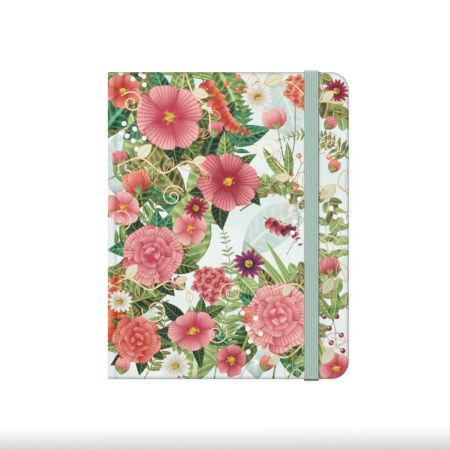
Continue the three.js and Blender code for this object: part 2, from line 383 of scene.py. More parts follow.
def foil_material():
    ink = Ink("print_foil")
    glint = ink.noise(ink.sheet, 60.0, 3.0).ramp(0.35, 0.65)
    # the foil also carries the painted shade along the rims of the boards
    colour = ink.painted_rim_shade(ink.mix(glint, *ink.tones("deep", "pale")))
    normal = ink.bump(ink.grain, 0.1, COARSE_RELIEF)
    return ink.finish(colour, glint.ramp(0.0, 1.0, 0.38, 0.54), Normal=normal, Metallic=0.28)


PRINT_MATERIALS = {
    "ground": ground_material(),
    "petal": petal_material(),
    "leaf": leaf_material(),
    "blade": blade_material(),
    "plain": plain_material(),
    "foil": foil_material(),
}
LOOKS = list(PRINT_MATERIALS)


def ink_set(deep, pale, line):
    """The tones of a motif: of its deep parts, its pale parts and its lines."""
    return dict(deep=linear(*deep), pale=linear(*pale), line=linear(*line))


PINK = ink_set((204, 58, 86), (251, 182, 178), (172, 42, 70))
ROSE = ink_set((180, 34, 62), (247, 150, 154), (140, 20, 46))
BLUSH = ink_set((220, 92, 104), (254, 206, 196), (190, 60, 80))
CORAL = ink_set((206, 54, 50), (250, 156, 130), (160, 28, 40))
ORANGE = ink_set((214, 66, 30), (248, 142, 76), (164, 40, 28))
CRIMSON = ink_set((104, 10, 44), (196, 40, 78), (66, 8, 36))
VIOLET = ink_set((36, 30, 82), (178, 54, 106), (24, 20, 60))
IVORY = ink_set((206, 204, 186), (250, 249, 243), (186, 180, 156))
NIGHT = ink_set((8, 22, 16), (44, 82, 46), (90, 130, 76))
EMERALD = ink_set((8, 54, 34), (82, 170, 116), (116, 200, 146))
FOREST = ink_set((14, 34, 18), (120, 156, 76), (150, 180, 98))
GRASS = ink_set((58, 104, 40), (184, 210, 122), (206, 220, 148))
OLIVE = ink_set((54, 54, 14), (196, 190, 108), (204, 200, 124))
SPRING = ink_set((98, 138, 62), (208, 221, 150), (224, 232, 180))
REED = ink_set((88, 134, 58), (198, 216, 134), (232, 232, 184))
TWIG = ink_set((112, 76, 48), (172, 128, 86), (88, 56, 36))
GOLD = ink_set((184, 120, 12), (242, 202, 66), (140, 82, 14))
WHITE = ink_set((240, 245, 242), (250, 252, 250), (230, 238, 234))
MIST = ink_set((198, 217, 208), (220, 234, 226), (230, 241, 235))
FOIL = ink_set((240, 214, 174), (252, 236, 208), (214, 176, 130))
FOIL_FILL = ink_set((196, 200, 172), (214, 216, 192), (200, 180, 140))
FOIL_EDGE = ink_set((190, 144, 94), (228, 190, 142), (214, 176, 130))
GREENS = [EMERALD, FOREST, GRASS, OLIVE, NIGHT]

# The part of the sheet that no motif covers
BARE_SHEET = dict(look=0, at=(0, 0), inverse=np.eye(2), bend=0, form=(0.3, 1, 1), fade=(0, 0, 1), **WHITE)

# Motifs of the print

GOLDEN_ANGLE = 2.399963


def heading(turn):
    """The direction at an angle, one long."""
    return np.array([math.cos(turn), math.sin(turn)])


def turn_matrix(angle, length, squash=(1.0, 0.0)):
    """Turns by angle and grows to length, then narrows to squash[0] along direction squash[1]."""
    x, y = heading(angle)
    turned = np.array([[x, -y], [y, x]]) * length
    share, direction = squash
    way = heading(direction)
    return (np.eye(2) + (share - 1) * np.outer(way, way)) @ turned


def outline(width, a, b, bend=0.0, points=18, ripple=0.0, notch=0.0, phase=0.0):
    """A petal or leaf from (0, 0) to (1, 0), with the half width width * sin(pi * t**a) ** b at t."""
    steps = (1 - np.cos(np.linspace(0, math.pi, points // 2 + 1))) / 2
    half = width * np.sin(math.pi * steps**a).clip(0) ** b
    arch = 4 * bend * steps * (1 - steps)
    loop = []
    for side, order in ((1, range(len(steps))), (-1, range(len(steps) - 2, 0, -1))):
        for i in order:
            t = steps[i] * side
            swell = 1 + ripple * math.sin(9.0 * t + phase) + ripple * math.sin(17.0 * t + 2 * phase)
            y = side * half[i] * swell
            x = steps[i] * (1 + (swell - 1) * 0.5)
            if notch:
                x -= notch * math.exp(-((y / (0.28 * width)) ** 2)) * smooth((steps[i] - 0.8) / 0.2)
            loop.append((x, y + arch[i]))
    return np.array(loop)


def curve(points, count=24):
    """A smooth path through the given points."""
    points = np.asarray(points, float)
    knots = np.concatenate([[2 * points[0] - points[1]], points, [2 * points[-1] - points[-2]]])
    spans = len(points) - 1
    made = []
    for i in range(1, spans + 1):
        t = np.linspace(0, 1, max(count // spans, 2), endpoint=i == spans)[:, None]
        a, b, c, d = knots[i - 1 : i + 3]
        made.append(
            0.5 * (2 * b + (c - a) * t + (2 * a - 5 * b + 4 * c - d) * t**2 + (3 * b - a - 3 * c + d) * t**3)
        )
    return np.concatenate(made)


def along(line, t):
    """The point at a share t of a line, and the line's direction there."""
    k = min(int(t * (len(line) - 1)), len(line) - 2)
    x, y = line[k + 1] - line[k]
    return line[k], math.atan2(y, x)


class Print:
    """Shapes of ink on the flat sheet, in the order in which they cover each other."""

    def __init__(self, seed):
        self.dice = random.Random(seed)
        self.shapes = []

    def any_turn(self):
        return self.dice.uniform(0, 6.28)

    def add(self, look, local, at, matrix, inks, form=(0.3, 1.0, 1.0), bend=0.0, fade=(0.15, 0.8)):
        self.shapes.append(
            dict(
                look=LOOKS.index(look),
                loop=np.asarray(local) @ matrix.T + np.asarray(at),
                at=np.asarray(at, float),
                inverse=np.linalg.inv(matrix),
                form=form,
                bend=bend,
                fade=(self.dice.random(), *fade),
                **inks,
            )
        )

    def leaf(self, at, angle, length, width, inks, bend=0.0, a=0.85, b=0.9, look="leaf", points=18,
             fade=(-0.1, 0.2)):
        fade = (0.15, 0.8) if look == "petal" else fade
        local = outline(width, a, b, bend, points)
        self.add(look, local, at, turn_matrix(angle, length), inks, (width, a, b), bend, fade)

    def petal(self, at, matrix, inks, form, points, fade, ripple=0.0, notch=0.0, phase=0.0):
        local = outline(*form, 0, points, ripple, notch, phase)
        self.add("petal", local, at, matrix, inks, form, 0, fade)

    def spot(self, at, radius, inks, points):
        turns = np.linspace(0, 2 * math.pi, points, endpoint=False)
        local = np.stack([np.cos(turns), np.sin(turns)], 1)
        self.add("plain", local, at, turn_matrix(0, radius), inks)

    def ribbon(self, path, width, inks, look="plain", taper=0.0):
        """A thin line of ink along the points of a path."""
        path = np.asarray(path, float)
        run = np.gradient(path, axis=0)
        run /= np.maximum(np.linalg.norm(run, axis=1, keepdims=True), TINY)
        side = np.stack([-run[:, 1], run[:, 0]], 1)
        thin = width / 2 * (1 - taper * np.linspace(0, 1, len(path)))[:, None]
        loop = np.concatenate([path + side * thin, (path - side * thin)[::-1]])
        self.add(look, loop, (0, 0), np.eye(2), inks)

    def flower(self, at, radius, inks, petals=5, angle=None, squash=(1.0, 0.0), width=0.5, heart=0.22):
        """An open blossom: a ring of overlapping petals, and stamens around its heart."""
        dice = self.dice
        angle = dice.uniform(0, 6) if angle is None else angle
        for i in range(petals):
            turn = angle + (i * 2 % petals if petals % 2 else i) * 2 * math.pi / petals
            turn += dice.uniform(-0.09, 0.09)
            matrix = turn_matrix(turn, radius * dice.uniform(0.92, 1.05), squash)
            form = (width * dice.uniform(0.92, 1.08), 1.9, 0.6)
            self.petal(at, matrix, inks, form, 26, (0.2, 0.95), 0.05, 0.07, dice.uniform(0, 6))
        self.heart(at, radius * heart, inks, squash)

    def heart(self, at, radius, inks, squash):
        dice = self.dice
        place = turn_matrix(0, 1, squash)
        dark = dict(deep=inks["line"], pale=inks["deep"], line=inks["line"])
        star = []
        for i in range(20):
            reach = radius * (1.35 if i % 2 else 0.8) * dice.uniform(0.9, 1.15)
            star.append(heading(i * math.pi / 10) * reach)
        self.add("plain", star, at, place, dark)
        self.spot(at, radius * 0.72, GOLD, 12)
        for i in range(11):
            turn, reach = self.any_turn(), radius * dice.uniform(0.45, 1.25)
            end = place @ (heading(turn) * reach) + at
            self.ribbon([at, end], 0.28, GOLD)
            self.spot(end, 0.5 + 0.02 * radius, GOLD, 6)
        self.spot(at, radius * 0.25, dict(OLIVE, deep=OLIVE["pale"]), 8)

    def double_flower(self, at, radius, inks, rings):
        """A full blossom: rings of broad petals, smaller and deeper in colour towards the heart."""
        dice = self.dice
        for ring in range(rings):
            reach = radius * (1 - ring / (rings + 0.6)) ** 0.85
            petals = 7 if ring < 2 else 5
            start = dice.uniform(0, 6)
            tones = dict(inks, pale=blend_colours(inks["pale"], inks["deep"], 0.45 * (ring / rings)))
            for i in range(petals):
                turn = start + (i * 2 % petals) * 2 * math.pi / petals + dice.uniform(-0.12, 0.12)
                matrix = turn_matrix(turn, reach * dice.uniform(0.92, 1.06))
                form = (dice.uniform(0.56, 0.66), 2.1, 0.5)
                self.petal(at, matrix, tones, form, 24, (0.5, 1.0), 0.04, 0.06, dice.uniform(0, 6))
        for i in range(5):
            turn = self.any_turn()
            off = heading(turn) * radius * 0.06
            self.leaf(at - off * 2, turn + 0.7, radius * 0.3, 0.4, inks, 0.2, 1.0, 0.7, "petal", 14)

    def daisy(self, at, radius, inks, petals):
        dice = self.dice
        for i in range(petals):
            turn = i * 2 * math.pi / petals + dice.uniform(-0.08, 0.08)
            matrix = turn_matrix(turn, radius * dice.uniform(0.85, 1.05))
            self.petal(at, matrix, inks, (0.16, 1.3, 0.7), 14, (0.2, 0.8))
        self.spot(at, radius * 0.24, GOLD, 14)
        for i in range(14):
            turn, reach = self.any_turn(), radius * 0.22 * math.sqrt(dice.random())
            self.spot(np.asarray(at) + heading(turn) * reach, 0.4, dict(TWIG, pale=GOLD["deep"]), 6)

    def wreath(self, at, radius, count, inks):
        """Leaves that spring from under a blossom."""
        dice = self.dice
        start = dice.uniform(0, 6)
        for i in range(count):
            turn = start + (i + 0.5) * 2 * math.pi / count + dice.uniform(-0.25, 0.25)
            base = np.asarray(at) + heading(turn) * radius * 0.35
            length = radius * dice.uniform(1.25, 1.75)
            width, bend = dice.uniform(0.17, 0.27), dice.uniform(-0.12, 0.12)
            self.leaf(base, turn, length, width, dice.choice(inks), bend, dice.uniform(0.75, 0.95), 0.95,
                      points=22, fade=(0.22, 0.6))

    def stem(self, path, width, inks=GRASS):
        self.ribbon(curve(path), width, inks, taper=0.5)

    def spray(self, path, count, length, width, inks, stem, look="leaf", lean=0.9, b=0.9, tip=0.0):
        """Leaflets on both sides of a bent stem, smaller towards its end for a frond or a spike."""
        dice = self.dice
        line = curve(path, 40)
        self.ribbon(line, stem, OLIVE, taper=0.6)
        for i in range(count):
            t = 0.12 + 0.85 * i / (count - 1)
            at, run = along(line, t)
            size = length * (0.55 + 0.75 * math.sin(math.pi * (0.15 + 0.75 * t))) * (1 - tip * t)
            for side in (1, -1):
                turn = run + side * lean * dice.uniform(0.85, 1.15)
                self.leaf(at, turn, size * dice.uniform(0.9, 1.1), width, dice.choice(inks),
                          -0.08 * side, 0.8, b, look, 12)

    def bud(self, at, angle, length, inks, wide=0.26):
        """A closed flower in its green cup: a narrow bud, or a wide tulip."""
        dice = self.dice
        for turn in (1.1 * wide, -1.1 * wide, 0.0):
            self.leaf(at, angle + turn, length, wide, inks, 0.05 * turn, 1.1, 0.7, "petal", 18)
        for turn in (0.45, -0.45, 0.1):
            lean = turn * dice.uniform(0.8, 1.2)
            self.leaf(at, angle + lean, length * 0.13 / wide, 0.2, GRASS, 0.0, 0.8, 0.8, points=12)

    def tulip(self, at, angle, length, inks):
        run = heading(angle) * length
        side = np.array([-run[1], run[0]]) * 0.3
        self.stem([at - 2.4 * run + side, at - run + side * 0.5, at], 1.3)
        base = at - 2.3 * run + side
        for turn, reach in ((0.35, 1.9), (-0.3, 1.7)):
            self.leaf(base, angle + turn, length * reach, 0.13, GRASS, 0.12 * turn, 0.7, 0.8, points=20)
        self.bud(at, angle, length, inks, wide=0.36)

    def tiny_cluster(self, at, radius, count, inks, size):
        """A head of small four-petalled blossoms, in a spiral of the golden angle."""
        dice = self.dice
        for i in range(count):
            turn, reach = i * GOLDEN_ANGLE, radius * math.sqrt((count - i) / count)
            spot = np.asarray(at) + heading(turn) * reach
            start = dice.uniform(0, 6)
            for k in range(4):
                self.leaf(spot, start + k * math.pi / 2, size, 0.46, inks, 0, 1.5, 0.6, "petal", 12)
            self.spot(spot, 0.55, GOLD, 6)

    def berries(self, path, count, size, inks, stem=0.5):
        dice = self.dice
        line = curve(path, 30)
        self.ribbon(line, stem, TWIG, taper=0.4)
        for i in range(count):
            at, run = along(line, 0.25 + 0.75 * i / (count - 1))
            run += 0.9 if i % 2 else -0.9
            end = at + heading(run) * size * dice.uniform(2.0, 3.2)
            self.ribbon([at, end], 0.4, TWIG)
            self.spot(end, size, inks, 12)
            self.spot(end + np.array([-0.3, 0.3]) * size, size * 0.3, WHITE, 6)

    def foil_line(self, line, width=1.05):
        self.ribbon(line, width, FOIL_EDGE, "foil")
        self.ribbon(line, width * 0.5, FOIL, "foil")

    def foil_leaf(self, at, angle, length, filled):
        local = outline(0.3, 0.9, 0.8, 0.03)
        matrix = turn_matrix(angle, length)
        if filled:
            self.add("foil", local, at, matrix, FOIL_FILL)
        self.ribbon(local @ matrix.T + at, 0.5, FOIL_EDGE, "foil")
        tip = matrix @ np.array([0.8, 0]) + at
        self.ribbon([at, (at + tip) / 2, tip], 0.4, FOIL_EDGE, "foil")

    def foil_sprig(self, path, count, length):
        line = curve(path, 10 * len(path))
        self.foil_line(line)
        for i in range(count):
            t = 0.1 + 0.88 * i / (count - 1)
            at, run = along(line, t)
            self.foil_leaf(at, run + (0.85 if i % 2 else -0.85), length * (1.1 - 0.45 * t), i % 4 == 1)

    def foil_curl(self, at, radius, turns, start, hand):
        steps = np.linspace(0, 1, int(26 * turns))
        turn = start + hand * steps * turns * 2 * math.pi
        reach = radius * (1 - 0.85 * steps)
        self.foil_line(np.asarray(at) + np.stack([np.cos(turn), np.sin(turn)], 1) * reach[:, None], 0.8)


# Layout of the print

# X on the flat sheet where the bed of the spine and the back starts and ends
BACK_BED = -262, -96


def front_greens(art):
    """Leaves, reeds, fronds, sprays, stems, berries and spikes of the front, from the back to the front."""
    # pale leaves behind everything
    for x, y, turn, size in (
        (-70, -90, 1.2, 60), (-20, 80, 2.2, 55), (10, -20, 0.6, 60), (45, 60, 1.9, 50),
        (60, -80, 2.0, 48), (-76, 20, 1.4, 50), (30, 100, -1.2, 45), (20, -105, 1.5, 60),
    ):
        art.leaf((x, y), turn, size, 0.22, MIST, 0.08, points=22)
    # reeds in two tufts
    for x, y, turn, size, bend in (
        (78, -112, 2.5, 104, -0.10), (74, -112, 2.3, 112, -0.08), (70, -112, 2.1, 118, -0.07),
        (66, -112, 1.95, 110, -0.05), (-88, 96, -0.35, 96, 0.10), (-88, 104, -0.15, 110, 0.10),
        (-88, 84, -0.5, 84, 0.08), (-84, 110, 0.0, 120, 0.07),
    ):
        art.leaf((x, y), turn, size, 0.045, REED, bend, 0.62, 0.75, "blade", 26)
    # large leaves
    for x, y, turn, size, width, inks, bend in (
        (-84, 66, 0.75, 52, 0.25, EMERALD, 0.05), (-52, 112, -1.9, 48, 0.24, FOREST, -0.05),
        (-8, 108, -1.2, 50, 0.25, GRASS, 0.06), (-84, -62, 0.35, 46, 0.24, FOREST, 0.06),
        (-16, 44, 1.1, 46, 0.22, NIGHT, 0.06), (48, -104, 1.9, 46, 0.24, EMERALD, -0.06),
        (-36, -104, 0.8, 44, 0.24, GRASS, 0.08), (16, -66, -2.0, 40, 0.24, FOREST, 0.05),
        (-84, 100, -0.35, 40, 0.24, OLIVE, -0.05), (-60, -2, 2.4, 30, 0.26, EMERALD, 0.04),
        (-20, 0, 2.5, 50, 0.2, EMERALD, -0.08), (-30, 20, 2.2, 46, 0.22, OLIVE, 0.06),
        (-70, 8, 1.2, 44, 0.2, FOREST, -0.07), (-40, 40, 0.9, 40, 0.2, OLIVE, -0.06),
        (6, -34, -0.9, 26, 0.22, SPRING, 0.06), (-84, -30, -0.5, 40, 0.22, GRASS, 0.06),
        (-4, 60, 0.2, 34, 0.22, EMERALD, -0.05), (-30, -30, 1.4, 58, 0.3, SPRING, 0.05),
        (-24, -108, 1.6, 54, 0.3, SPRING, -0.05), (-4, 0, 1.9, 52, 0.28, SPRING, 0.06),
        (-56, 30, 1.8, 48, 0.28, SPRING, -0.05),
    ):
        art.leaf((x, y), turn, size, width, inks, bend, 0.8, 0.95, points=26)
    # fronds
    for path, count, size, inks in (
        ([(-84, 30), (-62, 44), (-44, 66), (-34, 100)], 20, 12, [GRASS, FOREST]),
        ([(-10, -108), (-4, -70), (2, -36), (-4, 0)], 24, 14, [SPRING, GRASS]),
        ([(-12, 34), (6, 54), (10, 80), (2, 108)], 20, 12, [EMERALD]),
        ([(-84, -18), (-62, -2), (-46, 20), (-42, 48)], 20, 12, [FOREST, GRASS]),
        ([(84, 44), (70, 56), (52, 62), (32, 58)], 16, 9, [OLIVE, GRASS]),
        ([(-58, -106), (-46, -82), (-44, -56), (-54, -34)], 18, 11, [OLIVE]),
    ):
        art.spray(path, count, size, 0.15, inks, 0.9, lean=1.15, b=0.8, tip=0.75)
    # light sprays in the thin part of the bed
    art.spray([(40, -106), (58, -70), (68, -30), (66, 6)], 9, 11, 0.3, [SPRING, GRASS, SPRING], 0.9)
    art.spray([(84, -60), (72, -44), (58, -34), (44, -32)], 6, 9, 0.4, [OLIVE, SPRING], 0.8, b=0.6)
    art.spray([(62, 108), (66, 90), (74, 76), (84, 70)], 6, 9, 0.42, [SPRING, OLIVE], 0.8, b=0.6)
    art.spray([(60, 26), (70, 14), (76, -2), (78, -20)], 6, 7, 0.48, [OLIVE, SPRING], 0.6, b=0.5)
    art.spray([(16, 20), (28, 28), (40, 26), (52, 14)], 7, 7, 0.44, [OLIVE, SPRING], 0.6, b=0.5)
    # stems and berries
    art.stem([(30, -110), (34, -80), (34, -50)], 1.5)
    art.stem([(8, 10), (30, 26), (44, 50), (46, 82)], 1.1, TWIG)
    art.stem([(-84, -44), (-60, -50), (-40, -62)], 1.4, TWIG)
    art.berries([(30, 20), (44, 30), (52, 44), (66, 50)], 7, 2.0, CORAL)
    art.berries([(62, -50), (72, -66), (74, -84)], 6, 1.9, CRIMSON)
    art.berries([(-20, 96), (-4, 92), (8, 98), (20, 92)], 7, 1.9, ORANGE)
    # spikes of small petals
    for path, count, size, inks, stem in (
        ([(24, 6), (34, -2), (44, -4), (50, -14)], 9, 6, [VIOLET, ROSE], 0.8),
        ([(-20, 104), (-8, 84), (0, 70), (16, 62)], 12, 8, [CORAL, ORANGE], 0.9),
        ([(-84, -88), (-76, -66), (-78, -44), (-72, -26)], 12, 8, [ORANGE], 0.9),
    ):
        art.spray(path, count, size, 0.4, inks, stem, look="petal", b=0.6, tip=0.6)


def front_blossoms(art):
    """Blossoms of the front, from the back to the front, each with its leaves."""
    art.tulip((-60, 22), 1.9, 17, CORAL)
    art.tulip((70, -34), 1.75, 13, ROSE)
    art.tulip((34, 66), 1.9, 15, BLUSH)
    art.tiny_cluster((50, 92), 10, 15, CORAL, 4.4)
    art.tiny_cluster((-12, -40), 11, 15, ROSE, 4.6)
    art.wreath((-40, 74), 20, 9, GREENS)
    art.flower((-40, 74), 26, PINK, 5, 0.5, (0.86, 0.5), 0.52, 0.17)
    art.wreath((34, -62), 19, 6, GREENS)
    art.double_flower((34, -62), 24, BLUSH, 4)
    art.wreath((0, 30), 17, 7, GREENS)
    art.flower((0, 30), 23, ROSE, 6, 0.3, (0.9, 0.8), 0.42, 0.17)
    art.wreath((-52, -20), 17, 9, GREENS)
    art.double_flower((-52, -20), 21, PINK, 4)
    art.wreath((-62, -78), 13, 8, GREENS)
    art.double_flower((-62, -78), 17, CORAL, 3)
    art.wreath((-24, -70), 14, 7, GREENS)
    art.flower((-24, -72), 17, PINK, 5, 0.7, (0.88, 1.8))
    art.flower((-72, 12), 13, BLUSH, 5, 0.2, (0.9, 1.0))
    art.flower((-26, -2), 12, BLUSH, 5, 0.4)
    art.flower((2, -92), 12, ROSE, 5, 0.1, (0.9, 2.6))
    for x, y, size, inks, petals in (
        (-36, -96, 11, IVORY, 17), (-22, 12, 9, CRIMSON, 15), (14, -26, 11, VIOLET, 15),
        (20, 88, 11, IVORY, 17), (-74, -52, 9, IVORY, 15),
    ):
        art.daisy((x, y), size, inks, petals)
    art.flower((-72, 92), 13, CORAL, 5, 0.8)
    art.flower((74, -98), 12, PINK, 5, 0.8)
    art.daisy((74, 92), 9, CRIMSON, 15)
    for x, y, turn, size, inks in (
        (66, 66, 0.8, 10, ROSE), (6, -64, 0.4, 12, CORAL), (-30, -44, 2.3, 11, CRIMSON),
        (70, 36, 1.1, 10, CORAL), (-72, 40, 1.9, 12, ROSE), (-10, 60, 1.4, 12, ROSE),
        (-74, -102, 1.3, 12, PINK), (24, -100, 1.2, 12, CORAL),
    ):
        art.bud((x, y), turn, size, inks)
    # tiny white blossoms on thin stems
    for path in (
        [(-84, 60), (-74, 66), (-64, 62), (-58, 52)], [(40, -20), (46, -8), (48, 6), (44, 20)],
        [(64, 0), (70, 8), (78, 10), (84, 4)], [(-50, 112), (-56, 100), (-66, 104), (-76, 112)],
        [(8, -104), (16, -90), (18, -76), (14, -60)],
    ):
        art.berries(path, 8, 1.7, WHITE, 0.4)


def front_foil(art):
    """Foil over everything else: sprigs of leaves, and curls."""
    for path, count, length in (
        ([(-78, 40), (-60, 46), (-44, 36), (-28, 44), (-14, 36)], 7, 13),
        ([(14, 108), (26, 96), (42, 98), (58, 86), (86, 84)], 7, 14),
        ([(84, 20), (72, 28), (60, 20), (46, 30), (32, 44)], 7, 14),
        ([(86, -40), (70, -36), (58, -48), (46, -40), (30, -44)], 7, 13),
        ([(-84, -44), (-68, -36), (-54, -44), (-40, -38), (-26, -46)], 7, 12),
        ([(86, -76), (70, -84), (56, -78), (40, -90), (22, -84)], 7, 13),
        ([(-30, 108), (-24, 90), (-14, 80), (-12, 64)], 5, 12),
    ):
        art.foil_sprig(path, count, length)
    for x, y, reach, turns, start, hand in (
        (26, 52, 9, 1.6, 0.5, 1), (-66, 84, 8, 1.5, 2.5, -1), (70, 54, 9, 1.7, 1.0, 1),
        (-50, -58, 9, 1.5, 3.0, 1), (2, -46, 8, 1.6, 4.0, -1), (68, -14, 8, 1.5, 0.2, 1),
        (-8, -74, 8, 1.5, 1.2, -1), (-74, 4, 8, 1.5, 5.2, 1), (46, -102, 8, 1.4, 2.0, 1),
        (38, 6, 8, 1.5, 2.0, -1), (-38, 20, 8, 1.5, 0.4, 1),
    ):
        art.foil_curl((x, y), reach, turns, start, hand)


def front_print(art):
    """The print of the front: a full bed at the spine and the foot, thinner towards the fore edge."""
    front_greens(art)
    front_blossoms(art)
    front_foil(art)


def back_print(art, x0, x1):
    """The print of the spine and the back: the same plants, strewn evenly."""
    dice = art.dice
    greens = GREENS[:4]
    tones = [PINK, ROSE, BLUSH, CORAL]
    spots = []
    for column in range(4):
        for row in range(5):
            x = x0 + (column + 0.5 + dice.uniform(-0.2, 0.2)) * (x1 - x0) / 4
            y = -112 + (row + 0.3 + dice.uniform(-0.2, 0.2) + 0.5 * (column % 2)) * 43
            spots.append((x, y))
    dice.shuffle(spots)
    for x, y in spots:
        art.leaf((x, y), art.any_turn(), dice.uniform(40, 56), 0.22, MIST, 0.08, points=16)
    for x, y in spots[::3]:
        turn = dice.uniform(0.9, 2.2)
        for k in range(4):
            art.leaf((x, y - 20), turn + 0.16 * k, 80 - 6 * k, 0.045, REED, 0.06, 0.62, 0.75, "blade", 20)
    for k, (x, y) in enumerate(spots):
        for j in range(3):
            turn, size = art.any_turn(), dice.uniform(34, 44)
            art.leaf((x, y), turn, size, 0.23, greens[(k + j) % 4], 0.06, 0.8, 0.95)
    for x, y in spots:
        step = heading(art.any_turn()) * 15
        path = [np.array((x, y)) + step * i + np.array([0, 1.5 * i * i]) for i in range(4)]
        art.spray(path, 6, 9, dice.choice((0.2, 0.3, 0.4)), greens, 0.7)
    for k, (x, y) in enumerate(spots):
        inks = tones[k % 4]
        size = dice.uniform(15, 23)
        art.wreath((x, y), size * 0.75, 5, greens)
        if k % 4 == 0:
            art.double_flower((x, y), size * 0.95, inks, 3)
        elif k % 4 == 3:
            art.daisy((x, y), size * 0.8, IVORY, 17)
        else:
            art.flower((x, y), size, inks, squash=(0.88, dice.uniform(0, 3)))
        turn = art.any_turn()
        near = np.array((x, y)) + heading(turn) * 24
        if k % 3 == 0:
            art.daisy(near, 9, dice.choice((VIOLET, CRIMSON)), 13)
        elif k % 3 == 1:
            art.flower(near, 11, tones[(k + 1) % 4])
        else:
            art.bud(near, turn, 13, tones[(k + 2) % 4], wide=0.34)
    for x, y in spots[::2]:
        step = heading(art.any_turn()) * 16
        path = [np.array((x, y)) + step * i + np.array([2.0 * i * i, 0]) for i in range(4)]
        art.foil_sprig(path, 6, 12)


# Folding of the sheet


def groove(x):
    """How far the cover's face lies below its plane at x."""
    return GROOVE_DEPTH * (
        smooth((x - SHOULDER_X) / (FLOOR_X0 - SHOULDER_X)) - smooth((x - FLOOR_X1) / (BOARD_X - FLOOR_X1))
    )


def profile(s):
    """Outer face of the case at s on the flat sheet: x, z, the way inwards, and the depth of its edge."""
    over = np.clip((AXIS_X - s) / SPINE_ARC, 0, 1)
    turn = math.pi / 2 * (1 + over)
    down = np.clip(AXIS_X - SPINE_ARC - s, 0, None)
    flat_x = np.maximum(s, AXIS_X)
    x = flat_x + SPINE_RADIUS * np.cos(turn)
    z = BOOK_HEIGHT - SPINE_RADIUS + SPINE_RADIUS * np.sin(turn) - down - groove(flat_x)
    rim = smooth((s - RIM_START_X) / (RIM_END_X - RIM_START_X))
    depth = FLAP + (RIM_HEIGHT - FLAP) * rim - groove(flat_x) + (SPINE_THICKNESS - FLAP) * smooth(over)
    return x, z, -np.cos(turn), -np.sin(turn), depth


def fold(points, skin=0.0):
    """Places points of the flat sheet on the front half of the case, skin inside its outer face."""
    s, y = points[:, 0], points[:, 1]
    reach = CORNER_RADIUS - EDGE_ROUND
    centre_x = np.minimum(s, COVER_X1 - CORNER_RADIUS)
    centre_y = np.clip(y, CORNER_RADIUS - COVER_HALF, COVER_HALF - CORNER_RADIUS)
    off_x, off_y = s - centre_x, y - centre_y
    far = np.hypot(off_x, off_y)
    beyond = np.clip(far - reach, 0, None)
    way_x, way_y = off_x / np.maximum(far, TINY), off_y / np.maximum(far, TINY)
    inside = far <= reach
    edge_x = np.where(inside, s, centre_x + way_x * reach)
    edge_y = np.where(inside, y, centre_y + way_y * reach)
    first = np.clip(beyond / ROLL_ARC, 0, 1) * math.pi / 2
    level = np.clip((beyond - ROLL_ARC) / ROLL_FLAT, 0, 1)
    last = np.clip((beyond - ROLL_ARC - ROLL_FLAT) / ROLL_ARC, 0, 1) * math.pi / 2
    under = np.clip(beyond - 2 * ROLL_ARC - ROLL_FLAT, 0, None)
    radius = EDGE_ROUND - skin
    out = radius * np.sin(first) - radius * (1 - np.cos(last)) - under
    at = edge_x + way_x * out
    depth = profile(at)[4]
    bend = np.minimum(EDGE_ROUND, depth / 2)
    inner = bend - skin
    down = skin + inner * (1 - np.cos(first)) + (depth - 2 * bend) * level + inner * np.sin(last)
    x, z, in_x, in_z, _ = profile(at)
    return np.stack([x + in_x * down, edge_y + way_y * out, z + in_z * down], 1)


def fold_normals(points):
    """Outward directions on the folded sheet, from small steps forward the flat one."""
    step = 1e-3
    forward = fold(points + (step, 0)) - fold(points - (step, 0))
    sideways = fold(points + (0, step)) - fold(points - (0, step))
    normal = np.cross(forward, sideways)
    return normal / np.maximum(np.linalg.norm(normal, axis=1, keepdims=True), TINY)


def rounded_end(start_x, centre_x, centre_y, radius, steps):
    """Outline with two rounded corners, given by their centres, that starts and ends at start_x."""
    points = [(start_x, -centre_y - radius)]
    for start, y in ((-math.pi / 2, -centre_y), (0.0, centre_y)):
        for k in range(steps + 1):
            turn = start + k * math.pi / (2 * steps)
            points.append((centre_x + radius * math.cos(turn), y + radius * math.sin(turn)))
    return points + [(start_x, centre_y + radius)]


def sheet_ring(beyond):
    """Outline of the flat half sheet at a distance past where the edge starts to roll."""
    radius = CORNER_RADIUS - EDGE_ROUND + beyond
    return rounded_end(SHEET_MIDDLE, COVER_X1 - CORNER_RADIUS, COVER_HALF - CORNER_RADIUS, radius, 12)


def bend_lines():
    """Every line on the flat half sheet where it starts, ends or carries on a bend."""
    edge = COVER_HALF - EDGE_ROUND + ROLL_ALL
    stops = [RIM_START_X, RIM_END_X]
    stops += list(np.linspace(SHOULDER_X, FLOOR_X0, 8)) + list(np.linspace(FLOOR_X1, BOARD_X, 9))
    stops += list(np.linspace(AXIS_X - SPINE_ARC, AXIS_X, 9))
    stops += [AXIS_X + SPINE_MARGIN, AXIS_X - SPINE_ARC - SPINE_MARGIN]
    lines = [[(x, -edge), (x, edge)] for x in stops]
    second = ROLL_ARC + ROLL_FLAT
    rolls = list(np.linspace(0, ROLL_ARC, 5)) + list(np.linspace(second, second + ROLL_ARC, 5))
    return lines + [sheet_ring(r) for r in rolls]


def triangulate(loops, lines):
    """Triangles of the plane, cut by all loops and lines, with the loops that hold each of them."""
    points, edges, faces = [], [], []
    for loop in loops:
        loop = np.asarray(loop)
        following = np.roll(loop, -1, 0)
        if (loop[:, 0] * following[:, 1] - loop[:, 1] * following[:, 0]).sum() < 0:
            loop = loop[::-1]
        faces.append(list(range(len(points), len(points) + len(loop))))
        points += [Vector((float(x), float(y))) for x, y in loop]
    for line in lines:
        edges += [(len(points) + i, len(points) + i + 1) for i in range(len(line) - 1)]
        points += [Vector((float(x), float(y))) for x, y in line]
    made = delaunay_2d_cdt(points, edges, faces, 0, MERGE_REACH, True)
    return np.array(made[0]), made[2], made[5]


def mirrored(points):
    """The same points on the other half of the sheet."""
    return np.stack([2 * SHEET_MIDDLE - points[:, 0], points[:, 1]], 1)


